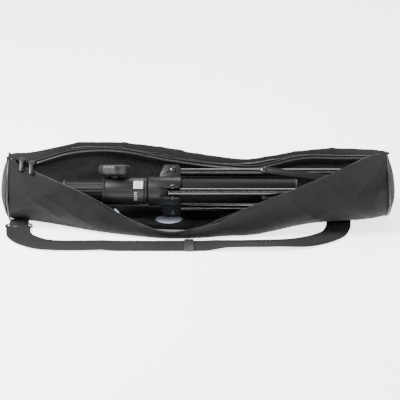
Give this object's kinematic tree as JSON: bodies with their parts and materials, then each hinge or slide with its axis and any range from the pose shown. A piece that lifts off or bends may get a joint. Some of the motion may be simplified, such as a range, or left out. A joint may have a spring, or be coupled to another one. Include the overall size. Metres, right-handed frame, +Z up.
{
  "type": "folding music stand in carry bag",
  "caption": "Folding tripod music stand with a sliding hub, braced legs and a flat folded desk, packed in its open cylindrical cloth carry bag with a shoulder strap.",
  "frame": {"origin": "on the floor face of the bag's base panel, under the mast's axis, midway along the bag", "axes": "+X along the mast from its head to its feet, +Z up, the bag's mouth opens towards -Y and +Z"},
  "size_m": [0.602, 0.2075, 0.1083],
  "materials": {
    "cloth": "plain-woven black nylon",
    "lining": "dark grey lining",
    "webbing": "twill webbing",
    "powder": "matte black powder coat",
    "gloss": "gloss black",
    "knob": "matte black moulded",
    "rubber": "black rubber",
    "rivet": "bright steel",
    "wire": "dark nickel",
    "foam": "pale blue-grey felt"
  },
  "bodies": {
    "bag": {"bag_base": "lining", "bag_front": "cloth", "bag_back": "cloth", "bag_end_left": "cloth", "bag_end_right": "cloth", "foam_pad": "foam", "zip_tape_front": "webbing", "zip_tape_back": "webbing", "strap_webbing": "webbing", "strap_ring_left": "wire", "strap_tab_left": "webbing"},
    "keeper": {"strap_keeper": "knob"},
    "slider_a": {"zip_slider_a": "wire"},
    "slider_b": {"zip_slider_b": "wire"},
    "pull_a": {"zip_pull_a": "wire"},
    "pull_b": {"zip_pull_b": "wire"},
    "desk_lower": {"desk_leaf_lower": "powder", "desk_hinge_pin": "rivet"},
    "desk_upper": {"desk_leaf_upper": "powder"},
    "stand": {"column_lower": "powder", "clamp_housing": "powder", "clamp_bush": "knob", "column_plug": "knob", "centre_rod": "gloss", "foot_spider": "powder", "rod_cap": "rubber", "brace_pin_a": "rivet", "brace_pin_b": "rivet", "brace_pin_c": "rivet"},
    "inner_column": {"column_upper": "powder", "head_cap": "knob"},
    "knob": {"clamp_screw": "rivet", "clamp_knob": "knob"},
    "hub": {"hub": "powder", "hub_set_screw": "rivet", "leg_pivot_a": "rivet", "leg_pivot_b": "rivet", "leg_pivot_c": "rivet"},
    "leg_a": {"leg_tube_a": "gloss", "leg_foot_a": "rubber"},
    "brace_a": {"brace_a": "powder", "brace_rivet_a": "rivet"},
    "leg_b": {"leg_tube_b": "gloss", "leg_foot_b": "rubber"},
    "brace_b": {"brace_b": "powder", "brace_rivet_b": "rivet"},
    "leg_c": {"leg_tube_c": "gloss", "leg_foot_c": "rubber"},
    "brace_c": {"brace_c": "powder", "brace_rivet_c": "rivet"}
  },
  "joints": [
    {"name": "stand_out", "type": "hinge", "parent": "bag", "child": "stand", "pos_m": [0.6, 0, -0.298], "axis": [0, 1, 0], "range_deg": [0, 90], "deforming": ["bag_front", "bag_back", "bag_end_left", "bag_end_right", "zip_tape_front", "zip_tape_back"]},
    {"name": "column_extend", "type": "slide", "parent": "stand", "child": "inner_column", "axis": [-1, 0, 0], "range_m": [0, 0.19]},
    {"name": "hub_slide", "type": "slide", "parent": "stand", "child": "hub", "axis": [1, 0, 0], "range_m": [0, 0.1198]},
    {"name": "knob_turn", "type": "hinge", "parent": "stand", "child": "knob", "pos_m": [-0.129, 0.0091, 0.07453], "axis": [0, 0.3746, 0.9272], "range_deg": [0, 270]},
    {"name": "desk_lift", "type": "slide", "parent": "bag", "child": "desk_lower", "axis": [0, 0, 1], "range_m": [0, 0.25]},
    {"name": "desk_unfold", "type": "hinge", "parent": "desk_lower", "child": "desk_upper", "pos_m": [-0.04075, 0.04734, 0.00695], "axis": [-0.9962, 0.0872, 0], "range_deg": [0, 180]},
    {"name": "keeper_slide", "type": "slide", "parent": "bag", "child": "keeper", "axis": [-1, 0, 0], "range_m": [0, 0.09]},
    {"name": "slider_a_run", "type": "slide", "parent": "bag", "child": "slider_a", "axis": [-1, 0, 0], "range_m": [0, 0.008]},
    {"name": "slider_b_run", "type": "slide", "parent": "bag", "child": "slider_b", "axis": [1, 0, 0], "range_m": [0, 0.012]},
    {"name": "pull_a_swing", "type": "hinge", "parent": "slider_a", "child": "pull_a", "pos_m": [-0.272, 0.0088, 0.099], "axis": [-1, 0, 0], "range_deg": [0, 90]},
    {"name": "pull_b_swing", "type": "hinge", "parent": "slider_b", "child": "pull_b", "pos_m": [-0.257, 0.0028, 0.096], "axis": [-1, 0, 0], "range_deg": [0, 90]},
    {"name": "leg_a_fold", "type": "hinge", "parent": "hub", "child": "leg_a", "pos_m": [-0.039, 0.02427, 0.07347], "axis": [0, -0.6626, 0.749], "range_deg": [0, 45]},
    {"name": "brace_a_fold", "type": "hinge", "parent": "stand", "child": "brace_a", "pos_m": [0.228, 0.01049, 0.06128], "axis": [0, 0.6626, -0.749], "range_deg": [0, 59.8]},
    {"name": "leg_b_fold", "type": "hinge", "parent": "hub", "child": "leg_b", "pos_m": [-0.039, -0.03073, 0.06228], "axis": [0, -0.3173, -0.9483], "range_deg": [0, 45]},
    {"name": "brace_b_fold", "type": "hinge", "parent": "stand", "child": "brace_b", "pos_m": [0.228, -0.01328, 0.05644], "axis": [0, 0.3173, 0.9483], "range_deg": [0, 59.8]},
    {"name": "leg_c_fold", "type": "hinge", "parent": "hub", "child": "leg_c", "pos_m": [-0.039, 0.00646, 0.02025], "axis": [0, 0.9799, 0.1994], "range_deg": [0, 45]},
    {"name": "brace_c_fold", "type": "hinge", "parent": "stand", "child": "brace_c", "pos_m": [0.228, 0.00279, 0.03828], "axis": [0, -0.9799, -0.1994], "range_deg": [0, 59.8]}
  ],
  "couplings": [
    {"joint": "column_extend", "follows": "stand_out", "m_per_rad": 0.12096},
    {"joint": "hub_slide", "follows": "stand_out", "m_per_rad": 0.076267},
    {"joint": "desk_lift", "follows": "stand_out", "m_per_rad": 0.15915},
    {"joint": "desk_unfold", "follows": "stand_out", "ratio": 2},
    {"joint": "leg_a_fold", "follows": "stand_out", "ratio": 0.5},
    {"joint": "brace_a_fold", "follows": "stand_out", "ratio": 0.66444},
    {"joint": "leg_b_fold", "follows": "stand_out", "ratio": 0.5},
    {"joint": "brace_b_fold", "follows": "stand_out", "ratio": 0.66444},
    {"joint": "leg_c_fold", "follows": "stand_out", "ratio": 0.5},
    {"joint": "brace_c_fold", "follows": "stand_out", "ratio": 0.66444}
  ]
}
